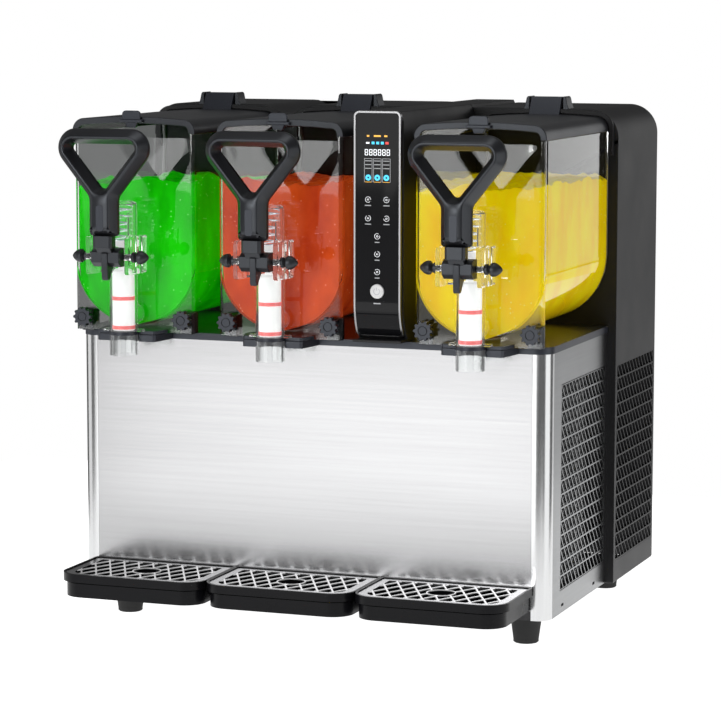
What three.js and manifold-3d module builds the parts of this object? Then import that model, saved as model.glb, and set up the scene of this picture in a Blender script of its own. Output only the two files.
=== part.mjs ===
// Countertop slushie machine with three bowls.
//
// The cabinet stands on four feet. Its steel front and sides hide a compressor, a condenser and a fan. A black
// deck carries three clear bowls, each sealed against the rear cover round a cold drum and its auger. Each bowl
// has a lid, a self-closing tap worked by a loop handle, and two star knobs that clamp it to the deck.
// A console with a glass front stands between the middle and right bowls. Three drip trays hang in front.
//
// Millimetres, +Z up, the front faces -Y. Inside the model, Y = 0 is the steel front panel and Z = 0 the table.
// The whole machine is then moved back so that its origin is the centre of its bounding box, on the table.
import * as THREE from "three";
import { mergeVertices } from "three/addons/utils/BufferGeometryUtils.js";
import Module from "manifold-3d";

const wasm = await Module();
wasm.setup();

// ---- driving dimensions ------------------------------------------------------------------------------------
const GAP = 0.3; // between touching parts
const SHEET = 2; // steel sheet
const SHELL = 3; // moulded walls

const CABINET = { half: 315, bottom: 38, top: 369, depth: 260, corner: 18 };
const FRONT_PANEL_HALF = 292.5;
const REAR = { half: 327, front: 260, back: 462, top: 659, corner: 38, dip: 13 };
const DECK = { half: 316, front: -3, bottom: 369.3, top: 378, corner: 22 };
const BRACKET = { half: 40, base: 44, front: -48 };
const STATIONS = { left: -230, middle: -31, right: 230 };

const BOWL = { half: 84, front: -19, back: 256, axis: 471, rim: 630, apron: 378.6, wall: 3, corner: 7 };
const TAP = { y: -54, radius: 18, bore: 15, bottom: 353, top: 548, port: 402 };
const PIN = { y: -91, z: 480, radius: 4, half: 52 };
const TAP_FOOT = { half: 38, front: -46.5, top: 383, fin: 27 };
const EAR = { inner: 23.5, outer: 29, bottom: 458, top: 505, front: -102, back: -46 };
const PISTON = { radius: 14, bottom: 384, shoulder: 454.5, neck: 6, disc: 490.5, top: 497.5 };
const SPRING = { radius: 12, wire: 1.8, bottom: 497.9, top: 541, turns: 5 };
const HANDLE = { front: -32, back: -12, stem: 19.4, stemFoot: 27, corner: 24, spread: 37.5, cornerHeight: 136 };
const GRIP = { corner: 9, foot: 8, footHeight: 93 }; // the hole in the loop, all radii and a height
const KNOB = { x: 68.5, z: 396, radius: 12.5, lobes: 10, front: -33, back: -24, stud: 3 };
const LID = { base: 630.4, half: 84.6, top: 652, corner: 16, front: -22, back: 259.4, wall: 3, lip: 8.5 };
const LATCH = { half: 13, top: 659.5, foot: 644, strip: 18 };
const LID_HINGE = { y: 271, z: 664.5, radius: 9.5, half: 22, ear: 32 };
const DRUM = { radius: 45, front: 14, shaft: 6 };
const AUGER = { inner: 48.5, outer: 77, start: 9, turns: 3, pitch: 77, blade: 5 };
const TRAY = { pitch: 197.1, half: 98.2, front: -124, back: -0.4, bottom: 50, step: 69.5, top: 80, corner: 30 };
const GRILLE = { half: 95, front: -120.6, back: -3.6, bottom: 75.3, top: 78.8, corner: 27 };
const CONSOLE = { x: 100, half: 30.6, front: -27, bottom: 383.6, top: 663.5, curve: 45, sweep: 15 };
const BUTTON = { z: 442, radius: 9 };
const VENTS = { bottom: 69, pitch: 17.2, rows: 15, slot: 13 };
const FOOT = { x: 272, frontY: 50, backY: 420, top: 20, bottom: 16 };

// ---- materials ---------------------------------------------------------------------------------------------
const paint = (color, roughness, metalness = 0, opacity = 1) =>
  new THREE.MeshStandardMaterial({ color, roughness, metalness, opacity, transparent: opacity < 1 });
const MATERIALS = {
  steel: paint(0xc9cbcd, 0.35, 1),
  chrome: paint(0xdcdee0, 0.2, 1),
  black: paint(0x2b2b2c, 0.45),
  gloss: paint(0x141414, 0.15),
  slate: paint(0x3b3d44, 0.4),
  clear: paint(0xe8f2f4, 0.05, 0, 0.35),
  white: paint(0xf4f4f2, 0.35),
  rubber: paint(0x191919, 0.8),
  painted: paint(0x202124, 0.5, 0.3),
  metal: paint(0x9a9da0, 0.4, 0.9),
};

// ---- outlines ----------------------------------------------------------------------------------------------
const radians = THREE.MathUtils.degToRad;

function arc(u, v, radius, from, to, steps) {
  return Array.from({ length: steps + 1 }, (_, i) => {
    const angle = radians(from + ((to - from) * i) / steps);
    return [u + radius * Math.cos(angle), v + radius * Math.sin(angle)];
  });
}

const circle = (u, v, radius, sides) => arc(u, v, radius, 0, 360 - 360 / sides, sides - 1);
const rectangle = (u0, u1, v0, v1) => [[u0, v0], [u1, v0], [u1, v1], [u0, v1]];
const mirrored = (right) => [...right, ...right.map(([u, v]) => [-u, v]).reverse()];

// Rounded rectangle, with one radius for its two low-v corners and one for its two high-v corners.
function rounded(u0, u1, v0, v1, low, high, steps = 5) {
  return [
    ...arc(u1 - low, v0 + low, low, -90, 0, steps),
    ...arc(u1 - high, v1 - high, high, 0, 90, steps),
    ...arc(u0 + high, v1 - high, high, 90, 180, steps),
    ...arc(u0 + low, v0 + low, low, 180, 270, steps),
  ];
}

// The trough section of a bowl: a half circle with straight sides up to `rim`.
function trough(half, rim, steps = 12) {
  return [[half, rim], [-half, rim], ...arc(0, BOWL.axis, half, -180, 0, steps)];
}

// An arch: straight sides from `base`, rounded shoulders and a slightly crowned top.
function arch(half, base, top, corner, crown = 3) {
  const side = [[half, base], ...arc(half - corner, top - crown - corner, corner, 0, 90, 3)];
  return mirrored([...side, [(half - corner) / 2, top - crown / 4]]);
}

// ---- solids ------------------------------------------------------------------------------------------------
const X = new THREE.Vector3(1, 0, 0);
const Y = new THREE.Vector3(0, 1, 0);
const Z = new THREE.Vector3(0, 0, 1);

// Outlines are (y, z) when pushed along x, (x, z) along y and (x, y) along z.
const PUSH = {
  x: new THREE.Matrix4().makeBasis(Y, Z, X),
  y: new THREE.Matrix4().makeBasis(X, Z, Y.clone().negate()),
  z: new THREE.Matrix4(),
};

function solid(geometry) {
  geometry.deleteAttribute("normal");
  geometry.deleteAttribute("uv");
  const merged = mergeVertices(geometry, 1e-4);
  const vertProperties = new Float32Array(merged.attributes.position.array);
  const triVerts = new Uint32Array(merged.index.array);
  return new wasm.Manifold(new wasm.Mesh({ numProp: 3, vertProperties, triVerts }));
}

function geometryOf(manifold) {
  const mesh = manifold.getMesh();
  const geometry = new THREE.BufferGeometry();
  geometry.setAttribute("position", new THREE.BufferAttribute(mesh.vertProperties, 3));
  geometry.setIndex(new THREE.BufferAttribute(mesh.triVerts, 1));
  return geometry;
}

const vectors = (points) => points.map(([u, v]) => new THREE.Vector2(u, v));

// Pushes an outline along an axis from one coordinate to another, and cuts any holes through it.
function push(axis, from, to, outline, holes = []) {
  const shape = new THREE.Shape(vectors(outline));
  const geometry = new THREE.ExtrudeGeometry(shape, { depth: to - from, bevelEnabled: false });
  geometry.applyMatrix4(PUSH[axis]);
  const start = axis === "y" ? to : from;
  geometry.translate(...["x", "y", "z"].map((name) => (name === axis ? start : 0)));
  return cut(solid(geometry), ...holes.map((hole) => push(axis, from - 1, to + 1, hole)));
}

const block = (x0, x1, y0, y1, z0, z1) => push("z", z0, z1, rectangle(x0, x1, y0, y1));
const rod = (axis, radius, from, to, u, v, sides = 12) => push(axis, from, to, circle(u, v, radius, sides));

// Turns a closed profile of (radius, height) points about the z axis through (x, y).
function turned(profile, x, y, sides = 16) {
  const geometry = new THREE.LatheGeometry(vectors(profile), sides);
  geometry.rotateX(Math.PI / 2);
  geometry.translate(x, y, 0);
  return solid(geometry);
}

// The same about a line along y at (x, z); heights are then y coordinates.
function turnedAlongY(profile, x, z, sides = 16) {
  const geometry = new THREE.LatheGeometry(vectors(profile), sides);
  geometry.translate(x, 0, z);
  return solid(geometry);
}

// Winds a section of (radius, rise) points into a helix about z, rising by `pitch` each turn.
function helix(section, pitch, turns, stepsPerTurn) {
  const steps = Math.round(turns * stepsPerTurn);
  const shape = new THREE.Shape(vectors(section));
  const geometry = new THREE.ExtrudeGeometry(shape, { depth: turns, steps, bevelEnabled: false });
  const position = geometry.attributes.position;
  for (let i = 0; i < position.count; i += 1) {
    const angle = -position.getZ(i) * 2 * Math.PI;
    const radius = position.getX(i);
    const rise = position.getY(i) + position.getZ(i) * pitch;
    position.setXYZ(i, radius * Math.cos(angle), radius * Math.sin(angle), rise);
  }
  return solid(geometry);
}

const join = (...solids) => solids.reduce((whole, next) => whole.add(next));
const cut = (whole, ...tools) => tools.reduce((rest, tool) => rest.subtract(tool), whole);

function place(group, name, whole, material) {
  const mesh = new THREE.Mesh(geometryOf(whole), MATERIALS[material]);
  mesh.name = name;
  group.add(mesh);
  return mesh;
}

// ---- bowl and tap ------------------------------------------------------------------------------------------
function bowl() {
  const inner = BOWL.half - BOWL.wall;
  const floorFront = BOWL.front + BOWL.wall;
  const plan = (half, front, corner) =>
    push("z", BOWL.apron, LID.top, rounded(-half, half, front, BOWL.back + 1, corner, 0.5, 3));
  const plateTop = arch(inner, BOWL.apron, LID.top - LID.wall - 0.5, LID.corner - LID.wall);
  const walls = join(
    push("y", BOWL.front, BOWL.back, trough(BOWL.half, BOWL.rim)),
    push("y", BOWL.front, floorFront, rectangle(-BOWL.half, BOWL.half, BOWL.apron, BOWL.rim)),
    push("y", BOWL.front, floorFront, plateTop),
  ).intersect(plan(BOWL.half, BOWL.front, BOWL.corner));
  const cavity = push("y", floorFront, BOWL.back + 1, trough(inner, BOWL.rim + 1))
    .intersect(plan(inner, floorFront, BOWL.corner - BOWL.wall));
  const dome = [[TAP.radius, TAP.top - 6], [TAP.radius - 2, TAP.top - 3], [TAP.radius - 8, TAP.top], [0, TAP.top]];
  const barrel = turned([[0, TAP.bottom], [TAP.radius, TAP.bottom], ...dome], 0, TAP.y);
  const bodies = join(
    cut(walls, cavity),
    barrel,
    rod("y", 13, TAP.y, floorFront, 0, TAP.port),
    block(-3, 3, TAP.y, floorFront, TAP.port, TAP.top - TAP.radius),
    block(-TAP_FOOT.half, TAP_FOOT.half, TAP_FOOT.front, floorFront, BOWL.apron, TAP_FOOT.top),
    block(-TAP_FOOT.fin, TAP_FOOT.fin, TAP.y - 5, TAP.y + 7, TAP_FOOT.top - 1, TAP_FOOT.top + SHELL),
    block(-EAR.outer, EAR.outer, EAR.front, EAR.back, EAR.bottom, EAR.top),
  );
  const studHoles = [-KNOB.x, KNOB.x].map((x) => rod("y", 4.5, BOWL.front - 1, floorFront + 1, x, KNOB.z, 8));
  return cut(
    bodies,
    rod("z", TAP.bore, TAP.bottom - 1, TAP.top - 5, 0, TAP.y, 16),
    rod("y", 9, TAP.y, floorFront + 1, 0, TAP.port, 10),
    block(-EAR.inner, EAR.inner, EAR.front - 1, TAP.y - TAP.radius + 1, EAR.bottom - 1, EAR.top + 1),
    block(-12, 12, TAP.y - TAP.radius - 1, TAP.y, EAR.bottom + 8, EAR.top + 22),
    rod("x", PIN.radius + GAP, -EAR.outer - 1, EAR.outer + 1, PIN.y, PIN.z, 10),
    ...studHoles,
  );
}

function gasket() {
  const inner = AUGER.outer + 1.5;
  const band = push("y", BOWL.back + GAP, REAR.front - GAP, trough(BOWL.half, BOWL.rim));
  return cut(band, push("y", BOWL.back, REAR.front, trough(inner, BOWL.rim + 1)));
}

function lid() {
  const skin = arch(LID.half, LID.base, LID.top, LID.corner);
  const under = arch(LID.half - LID.wall, LID.base - 1, LID.top - LID.wall, LID.corner - LID.wall);
  const opening = arch(LID.half - LID.lip, LID.base - 1, LID.top - LID.lip, LID.corner - LID.lip);
  const shell = cut(
    push("y", LID.front, LID.back, skin),
    push("y", BOWL.front - GAP, LID.back + 1, under),
    push("y", LID.front - 1, BOWL.front, opening),
  );
  const { y, z, radius, half } = LID_HINGE;
  const hingeBlock = [[LID.back - 11, LID.top - 2], [LID.back, LID.top - 2], [LID.back, z - radius]];
  const knuckle = [...hingeBlock, ...arc(y, z, radius, -90, 90, 5), [LID.back - 9, z + radius]];
  return join(
    shell,
    push("x", -half, half, knuckle),
    rod("x", 3.5, -half - 5, half + 5, y, z, 8),
    block(-LATCH.half, LATCH.half, LID.front - 7, LID.front + 1, LATCH.foot, LATCH.top),
    block(-LATCH.strip, LATCH.strip, LID.front - 7, LID.front + 1, LATCH.foot - 3, LATCH.foot + 3),
  );
}

function pivotPin() {
  const end = [[6.5, 30], [6.5, 33.5], [4.2, 35.5], [8.5, 38.5], [8.5, 41.5], [6.2, 47], [2, PIN.half], [0, PIN.half]];
  const flip = end.map(([r, x]) => [r, -x]).reverse();
  const geometry = new THREE.LatheGeometry(vectors([...flip, [PIN.radius, -30], [PIN.radius, 30], ...end]), 10);
  geometry.rotateZ(-Math.PI / 2);
  geometry.translate(0, PIN.y, PIN.z);
  return solid(geometry);
}

// The loop handle, upright, with its pivot at the origin. It stands in front of the pivot, and its fork reaches back.
function handle() {
  const { front, back, stem, stemFoot, corner, spread, cornerHeight } = HANDLE;
  const outline = mirrored([[stem, 50], [stem, 73], ...arc(spread, cornerHeight, corner, -39, 90, 5)]);
  const gripHole = [
    ...arc(spread, cornerHeight, GRIP.corner, -39, 90, 3),
    ...arc(-spread, cornerHeight, GRIP.corner, 90, 219, 3),
    ...arc(0, GRIP.footHeight, GRIP.foot, 219, 321, 3),
  ];
  const grip = [[10, front], [stem, front + 12], [stem, back], [-stem, back], [-stem, front + 12], [-10, front]];
  const side = [[-25, 12], [-25, stemFoot + 1], [-12, stemFoot + 1], [8, 10], [8, -9], [-14, -9], [-18, 4]];
  const finger = [[-20, 6], [-18.5, -25], [-16, -28.5], [-11, -28], [-9, -25], [5, -8], [5, 6]];
  const forkArm = [[6, -7], [34, -4.5], [42.5, -2], [42.5, 6], [34, 8.8], [6, 9]];
  const arm = join(
    push("y", front, back, outline, [gripHole]),
    push("z", stemFoot, 60, grip),
    push("x", -13, 13, side),
    rod("x", 10, -17, 17, 0, 0, 12),
    push("x", -4.2, 4.2, finger),
    ...[-11, 7].map((low) => push("x", low, low + 4, forkArm)),
  );
  return cut(arm, rod("x", PIN.radius + GAP, -30, 30, 0, 0, 10)).translate([0, PIN.y, PIN.z]);
}

function piston() {
  const { radius, bottom, shoulder, neck, disc, top } = PISTON;
  const body = [[0, bottom], [radius - 1, bottom], [radius, bottom + 1], [radius, shoulder - 2]];
  const stem = [[radius - 2, shoulder], [neck, shoulder], [neck, disc]];
  return turned([...body, ...stem, [13, disc], [13, top], [0, top]], 0, TAP.y);
}

function valveSpring() {
  const pitch = (SPRING.top - SPRING.bottom - 2 * SPRING.wire) / SPRING.turns;
  const coil = helix(circle(SPRING.radius, 0, SPRING.wire / 2, 4), pitch, SPRING.turns, 8);
  return coil.translate([0, TAP.y, SPRING.bottom + SPRING.wire / 2]);
}

function starKnob(x) {
  const { radius, lobes, front, back, stud, z } = KNOB;
  const star = Array.from({ length: lobes * 2 }, (_, i) => {
    const reach = radius - (i % 2 ? 2.6 : 0);
    const angle = (i * Math.PI) / lobes;
    return [x + reach * Math.cos(angle), z + reach * Math.sin(angle)];
  });
  return join(
    push("y", front, back, star),
    rod("y", 8, front - 1, BOWL.front - GAP, x, z, 10),
    rod("y", stud, back, 2, x, z, 8),
  );
}

// ---- freezing and stirring ---------------------------------------------------------------------------------
function evaporator() {
  const { radius, front } = DRUM;
  const bore = DRUM.shaft + 1.2;
  const flange = { radius: 58, front: REAR.front + SHELL + GAP, back: REAR.front + SHELL + 5 };
  const outside = [[bore, front], [radius - 4, front], [radius, front + 4], [radius, flange.front]];
  const back = [[flange.radius, flange.front], [flange.radius, flange.back], [radius - 2.5, flange.back]];
  const inside = [[radius - 2.5, front + 6], [bore, front + 6], [bore, front]];
  return turnedAlongY([...outside, ...back, ...inside], 0, BOWL.axis);
}

function auger() {
  const { inner, outer, start, turns, pitch, blade } = AUGER;
  const rim = [[inner, 0], [outer, 0], [outer, blade], [inner, blade]];
  const screw = helix(rim, pitch, turns, 10).rotate([-90, 0, 0]).translate([0, start, 0]);
  const spider = join(
    rod("y", 52, start - 6, start, 0, 0, 12),
    rod("y", 14, start - 14, start, 0, 0, 10),
    rod("y", DRUM.shaft, start - 2, 296, 0, 0, 8),
    block(inner - 3, outer, start - 6, start + blade - 0.5, -9, 9),
  );
  return join(screw, spider).translate([0, 0, BOWL.axis]);
}

function gearMotor() {
  const face = REAR.front + SHELL + 5 + GAP;
  const axis = BOWL.axis;
  const box = block(-35, 35, face, 318, axis - 42, axis + 42);
  const can = rod("y", 34, 317, 392, 0, axis, 14);
  return cut(join(box, can), rod("y", DRUM.shaft + 1.2, face - 1, 300, 0, axis, 8));
}

// ---- drip tray ---------------------------------------------------------------------------------------------
function dripTray() {
  const { half, front, back, bottom, step, top, corner } = TRAY;
  const body = join(
    push("z", step, top, rounded(-half, half, front, back, corner, 4)),
    push("z", bottom, step + 1, rounded(4 - half, half - 4, front + 4, back, corner - 3, 3)),
  );
  const ledge = rounded(-half + 2.6, half - 2.6, front + 2.8, back - 2.6, corner - 2, 3);
  const basin = rounded(-half + 10, half - 10, front + 10, back - 8, corner - 8, 4);
  return cut(body, push("z", GRILLE.bottom - GAP, top + 1, ledge), push("z", bottom + SHELL, top, basin));
}

function dripGrille() {
  const { half, front, back, bottom, top, corner } = GRILLE;
  const middle = (front + back) / 2;
  const slots = [-76, -58, -40, 40, 58, 76].map((x) => rectangle(x - 6, x + 6, middle - 40, middle + 40));
  const short = [-20, 0, 20].flatMap((x) => [-1, 1].map((side) => {
    const reach = [middle + side * 28, middle + side * 40];
    return rectangle(x - 7, x + 7, Math.min(...reach), Math.max(...reach));
  }));
  const spoutHole = circle(0, middle, 17, 14);
  return push("z", bottom, top, rounded(-half, half, front, back, corner, 3), [...slots, ...short, spoutHole]);
}

// ---- cabinet -----------------------------------------------------------------------------------------------
// Long slanted vent slots through a side wall at x, from y0 to y1.
function vents(x, y0, y1) {
  return Array.from({ length: VENTS.rows }, (_, i) => {
    const z = VENTS.bottom + i * VENTS.pitch;
    const slot = [[y0 + VENTS.slot, z], [y1, z], [y1 - VENTS.slot, z + VENTS.slot], [y0, z + VENTS.slot]];
    return push("x", x - 8, x + 8, slot);
  });
}

function sidePanel(side) {
  const { half, bottom, top, depth, corner } = CABINET;
  const start = FRONT_PANEL_HALF + GAP;
  const outer = [[start, 0], ...arc(half - corner, corner, corner, -90, 0, 5), [half, depth - GAP]];
  const inner = [[half - SHEET, depth - GAP], ...arc(half - corner, corner, corner - SHEET, 0, -90, 5), [start, SHEET]];
  const section = [...outer, ...inner].map(([x, y]) => [side * x, y]);
  const sheet = push("z", bottom, top, side > 0 ? section : section.reverse());
  return cut(sheet, ...vents(side * half, 53, 250));
}

function deck() {
  const { half, front, bottom, top, corner } = DECK;
  const plate = push("z", bottom, top, rounded(-half, half, front, REAR.front - GAP, corner, 1));
  const outline = (x) => [
    [x - BRACKET.base, front + 2], [x - BRACKET.half, BRACKET.front + 3], [x - BRACKET.half + 3, BRACKET.front],
    [x + BRACKET.half - 3, BRACKET.front], [x + BRACKET.half, BRACKET.front + 3], [x + BRACKET.base, front + 2],
  ];
  const additions = Object.values(STATIONS).flatMap((x) => [
    push("z", bottom, top, outline(x)),
    ...[-KNOB.x, KNOB.x].map((k) => block(x + k - 8, x + k + 8, -15, 6, bottom, KNOB.z + 9)),
  ]);
  const cuts = Object.values(STATIONS).flatMap((x) => [
    rod("z", TAP.radius + 1, bottom - 1, top + 1, x, TAP.y, 16),
    ...[-KNOB.x, KNOB.x].map((k) => rod("y", KNOB.stud + 0.6, -16, 7, x + k, KNOB.z, 8)),
  ]);
  return cut(join(plate, ...additions), ...cuts);
}

// Height of the rear cover's top: level behind each bowl, lower between the left and middle bowls.
function coverTop(x) {
  const nearest = Math.min(...Object.values(STATIONS).map((station) => Math.abs(x - station)));
  return REAR.top - REAR.dip * THREE.MathUtils.smoothstep(nearest, 62, 100);
}

function coverOutline(inset, bottom) {
  const half = REAR.half - inset;
  const corner = REAR.corner - inset;
  const shoulder = REAR.top - REAR.corner;
  const tops = [70, 20, -50, -100, -130.5, -160, -205, -260].map((x) => [x, coverTop(x) - inset]);
  return [
    [-half, bottom], [half, bottom],
    ...arc(half - corner, shoulder, corner, 0, 90, 5),
    [130, REAR.top - inset], ...tops,
    ...arc(corner - half, shoulder, corner, 90, 180, 5),
  ];
}

function rearCover() {
  const { front, back, top } = REAR;
  const lining = push("y", front + SHELL, back, coverOutline(SHELL, CABINET.bottom - 1));
  const box = cut(push("y", front, back - GAP, coverOutline(0, CABINET.bottom)), lining);
  const ridge = [
    [CONSOLE.x - 32, top - 2], [CONSOLE.x + 32, top - 2],
    [CONSOLE.x + 27, CONSOLE.top - 0.5], [CONSOLE.x - 27, CONSOLE.top - 0.5],
  ];
  const { y, z, half, ear } = LID_HINGE;
  const hingeEar = (x, side) => {
    const inner = x + side * (half + 0.6);
    const outline = [[inner, top - 2], [x + side * ear, top - 2], [x + side * (half + 5), z + 10], [inner, z + 10]];
    return push("y", front, y + 12, outline);
  };
  const rims = Object.values(STATIONS).flatMap((x) => [-1, 1].map((side) => hingeEar(x, side)));
  const pockets = Object.values(STATIONS).flatMap((x) => [
    block(x - half - 0.6, x + half + 0.6, front - 1, y + 12, LID.top - 3, z + 12),
    block(x - half - 6, x + half + 6, front - 1, y, z - 4.2, z + 4.2),
    rod("x", 4.2, x - half - 6, x + half + 6, y, z, 8),
    rod("y", DRUM.radius + 1, front - 1, front + SHELL + 1, x, BOWL.axis, 16),
  ]);
  const wall = join(box, push("y", front, back - GAP, ridge), ...rims);
  return cut(
    wall,
    ...pockets,
    push("y", front - 1, front + SHELL + 1, rectangle(-312.5, 312.5, CABINET.bottom - 1, DECK.bottom - 4)),
    ...vents(REAR.half, 270, 452),
    ...vents(-REAR.half, 270, 452),
  );
}

function backPanel() {
  const from = REAR.back - 2.6;
  const inset = SHELL + GAP;
  const slots = Array.from({ length: 9 }, (_, i) => rectangle(-150, 150, 110 + i * 20, 118 + i * 20));
  const panel = push("y", from, REAR.back, coverOutline(inset, CABINET.bottom), slots);
  const socket = push("y", from - 14, from + 1, rounded(212, 248, 60, 90, 3, 3, 2));
  return cut(join(panel, socket), push("y", from - 12, REAR.back + 1, rounded(216, 244, 64, 86, 2, 2, 2)));
}

function basePan() {
  const wide = CABINET.half - SHEET - 1;
  const plan = rounded(-wide, wide, SHEET + GAP, REAR.back - 20, CABINET.corner, 1, 3);
  const floor = push("z", CABINET.bottom, CABINET.bottom + 3, plan);
  const flange = block(-FRONT_PANEL_HALF, FRONT_PANEL_HALF, 0, 4, CABINET.bottom, TRAY.bottom - GAP);
  const tongues = [-1, 0, 1].map((i) => {
    const x = i * TRAY.pitch;
    return block(x - 30, x + 30, -80, 1, TRAY.bottom - 3.5, TRAY.bottom - GAP);
  });
  return join(floor, flange, ...tongues);
}

function foot() {
  const top = CABINET.bottom - GAP;
  return turned([[0, 0], [FOOT.bottom, 0], [FOOT.bottom, 4], [FOOT.top, top - 4], [FOOT.top, top], [0, top]], 0, 0);
}

// ---- console -----------------------------------------------------------------------------------------------
// Side view of a sheet `thick` deep whose front is `behind` the console's front and whose foot sweeps back.
function consoleSheet(behind, thick) {
  const { front, bottom, top, curve, sweep } = CONSOLE;
  const edge = (offset) => [[front + offset, top], ...Array.from({ length: 5 }, (_, i) => {
    const drop = i / 4;
    return [front + offset + sweep * (1 - Math.sqrt(1 - drop * drop * 0.75)) * 2, bottom + curve * (1 - drop)];
  })];
  return push("x", CONSOLE.x - 40, CONSOLE.x + 40, [...edge(behind), ...edge(behind + thick).reverse()]);
}

const consoleFace = (inset, corner) => {
  const { x, half, bottom, top } = CONSOLE;
  const outline = rounded(x - half + inset, x + half - inset, bottom + inset, top - inset, corner, corner, 4);
  return push("y", CONSOLE.front - 10, 30, outline);
};

const consoleBezel = () => cut(consoleSheet(0, 6.5).intersect(consoleFace(0, 9)), consoleFace(3.8, 6));

function consoleGlass() {
  const pane = consoleSheet(1, 4).intersect(consoleFace(3.8 + GAP, 5.7));
  return cut(pane, rod("y", BUTTON.radius + 0.4, CONSOLE.front - 5, 0, CONSOLE.x, BUTTON.z, 16));
}

const powerButton = () =>
  rod("y", BUTTON.radius, CONSOLE.front - 0.6, CONSOLE.front + 4.8, CONSOLE.x, BUTTON.z, 16);

function consoleHousing() {
  const { x, top } = CONSOLE;
  const outline = (inset, base) => [
    [x - 32 + inset, base], [x + 32 - inset, base], [x + 32 - inset, top - 12],
    [x + 27 - inset, top - 0.5 - inset], [x - 27 + inset, top - 0.5 - inset], [x - 32 + inset, top - 12],
  ];
  const back = REAR.front - GAP;
  const outside = push("y", CONSOLE.front, back, outline(0, DECK.top + GAP));
  const inside = push("y", 12, back + 1, outline(SHELL, DECK.top - 1));
  const front = consoleSheet(-30, 30 + 6.5 + GAP);
  return cut(outside, inside, front);
}

// ---- refrigeration -----------------------------------------------------------------------------------------
function compressor() {
  const base = CABINET.bottom + 3 + GAP;
  const can = [[0, base + 6], [62, base + 6], [70, base + 20], [70, base + 120], [45, base + 150], [0, base + 156]];
  return join(turned(can, 0, 0), block(-75, 75, -55, 55, base, base + 8));
}

// Finned block with a bracket arm that carries the fan's spindle.
function condenser() {
  const base = CABINET.bottom + 3 + GAP;
  const fins = Array.from({ length: 8 }, (_, i) => 60 + i * 25);
  const comb = fins.flatMap((y) => [[y, 262], [y, 290], [y + 4, 290], [y + 4, 262]]);
  const outline = comb.map(([y, x]) => [x, y]);
  const core = push("z", base, base + 290, [[256, 60], ...outline, [256, 240]]);
  return join(core, rod("x", 4, 205, 257, 150, 200, 8));
}

function condenserFan() {
  const hub = push("x", 212, 240, circle(0, 0, 22, 12), [circle(0, 0, 4.6, 8)]);
  const blade = block(-2, 2, -13, 13, 19, 82).rotate([0, 0, 28]).translate([226, 0, 0]);
  const blades = [0, 72, 144, 216, 288].map((turn) => blade.rotate([turn, 0, 0]));
  return join(hub, ...blades).translate([0, 150, 200]);
}

// ---- assembly ----------------------------------------------------------------------------------------------
const machine = new THREE.Group();

for (const [side, x] of Object.entries(STATIONS)) {
  const station = new THREE.Group();
  station.position.x = x;
  machine.add(station);
  place(station, `bowl_${side}`, bowl(), "clear");
  place(station, `bowl_gasket_${side}`, gasket(), "rubber");
  place(station, `lid_${side}`, lid(), "black");
  place(station, `tap_pin_${side}`, pivotPin(), "black");
  place(station, `tap_handle_${side}`, handle(), "black");
  place(station, `valve_piston_${side}`, piston(), "white");
  place(station, `valve_spring_${side}`, valveSpring(), "chrome");
  place(station, `clamp_knob_${side}_a`, starKnob(-KNOB.x), "slate");
  place(station, `clamp_knob_${side}_b`, starKnob(KNOB.x), "slate");
  place(station, `evaporator_${side}`, evaporator(), "steel");
  place(station, `auger_${side}`, auger(), "white");
  place(station, `gear_motor_${side}`, gearMotor(), "metal");
}

["left", "middle", "right"].forEach((side, i) => {
  const bay = new THREE.Group();
  bay.position.x = (i - 1) * TRAY.pitch;
  machine.add(bay);
  place(bay, `drip_tray_${side}`, dripTray(), "gloss");
  place(bay, `drip_grille_${side}`, dripGrille(), "steel");
});

const frontPanel = block(-FRONT_PANEL_HALF, FRONT_PANEL_HALF, 0, SHEET, TRAY.bottom, CABINET.top);
place(machine, "front_panel", frontPanel, "steel");
place(machine, "side_panel_left", sidePanel(-1), "steel");
place(machine, "side_panel_right", sidePanel(1), "steel");
place(machine, "deck", deck(), "slate");
place(machine, "rear_cover", rearCover(), "black");
place(machine, "back_panel", backPanel(), "painted");
place(machine, "base_pan", basePan(), "painted");
place(machine, "console_housing", consoleHousing(), "black");
place(machine, "console_bezel", consoleBezel(), "chrome");
place(machine, "console_glass", consoleGlass(), "gloss");
place(machine, "power_button", powerButton(), "white");
place(machine, "compressor", compressor(), "painted").position.set(-150, 330, 0);
place(machine, "condenser", condenser(), "metal");
place(machine, "condenser_fan", condenserFan(), "painted");

for (const [name, x, y] of [
  ["foot_front_left", -FOOT.x, FOOT.frontY],
  ["foot_front_right", FOOT.x, FOOT.frontY],
  ["foot_back_left", -FOOT.x, FOOT.backY],
  ["foot_back_right", FOOT.x, FOOT.backY],
]) {
  place(machine, name, foot(), "rubber").position.set(x, y, 0);
}

machine.position.y = -(TRAY.front + REAR.back) / 2;

export default machine;
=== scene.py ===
import math

import bmesh
import bpy
from mathutils import Matrix, Vector, noise


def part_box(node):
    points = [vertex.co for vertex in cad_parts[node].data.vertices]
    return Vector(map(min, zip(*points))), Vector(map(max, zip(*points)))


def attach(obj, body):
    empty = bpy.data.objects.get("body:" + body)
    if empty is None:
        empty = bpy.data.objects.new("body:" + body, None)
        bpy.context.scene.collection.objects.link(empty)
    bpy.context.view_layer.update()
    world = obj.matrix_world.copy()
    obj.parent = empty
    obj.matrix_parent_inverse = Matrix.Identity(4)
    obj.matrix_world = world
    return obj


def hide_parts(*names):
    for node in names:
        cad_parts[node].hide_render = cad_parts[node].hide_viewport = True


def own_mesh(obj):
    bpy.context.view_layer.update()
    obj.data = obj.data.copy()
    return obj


# Countertop slushie machine with three bowls. Lengths in the shape code are millimetres: x across,
# y back from the steel front and z up from the table. place() turns them into the frame's metres.

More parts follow.
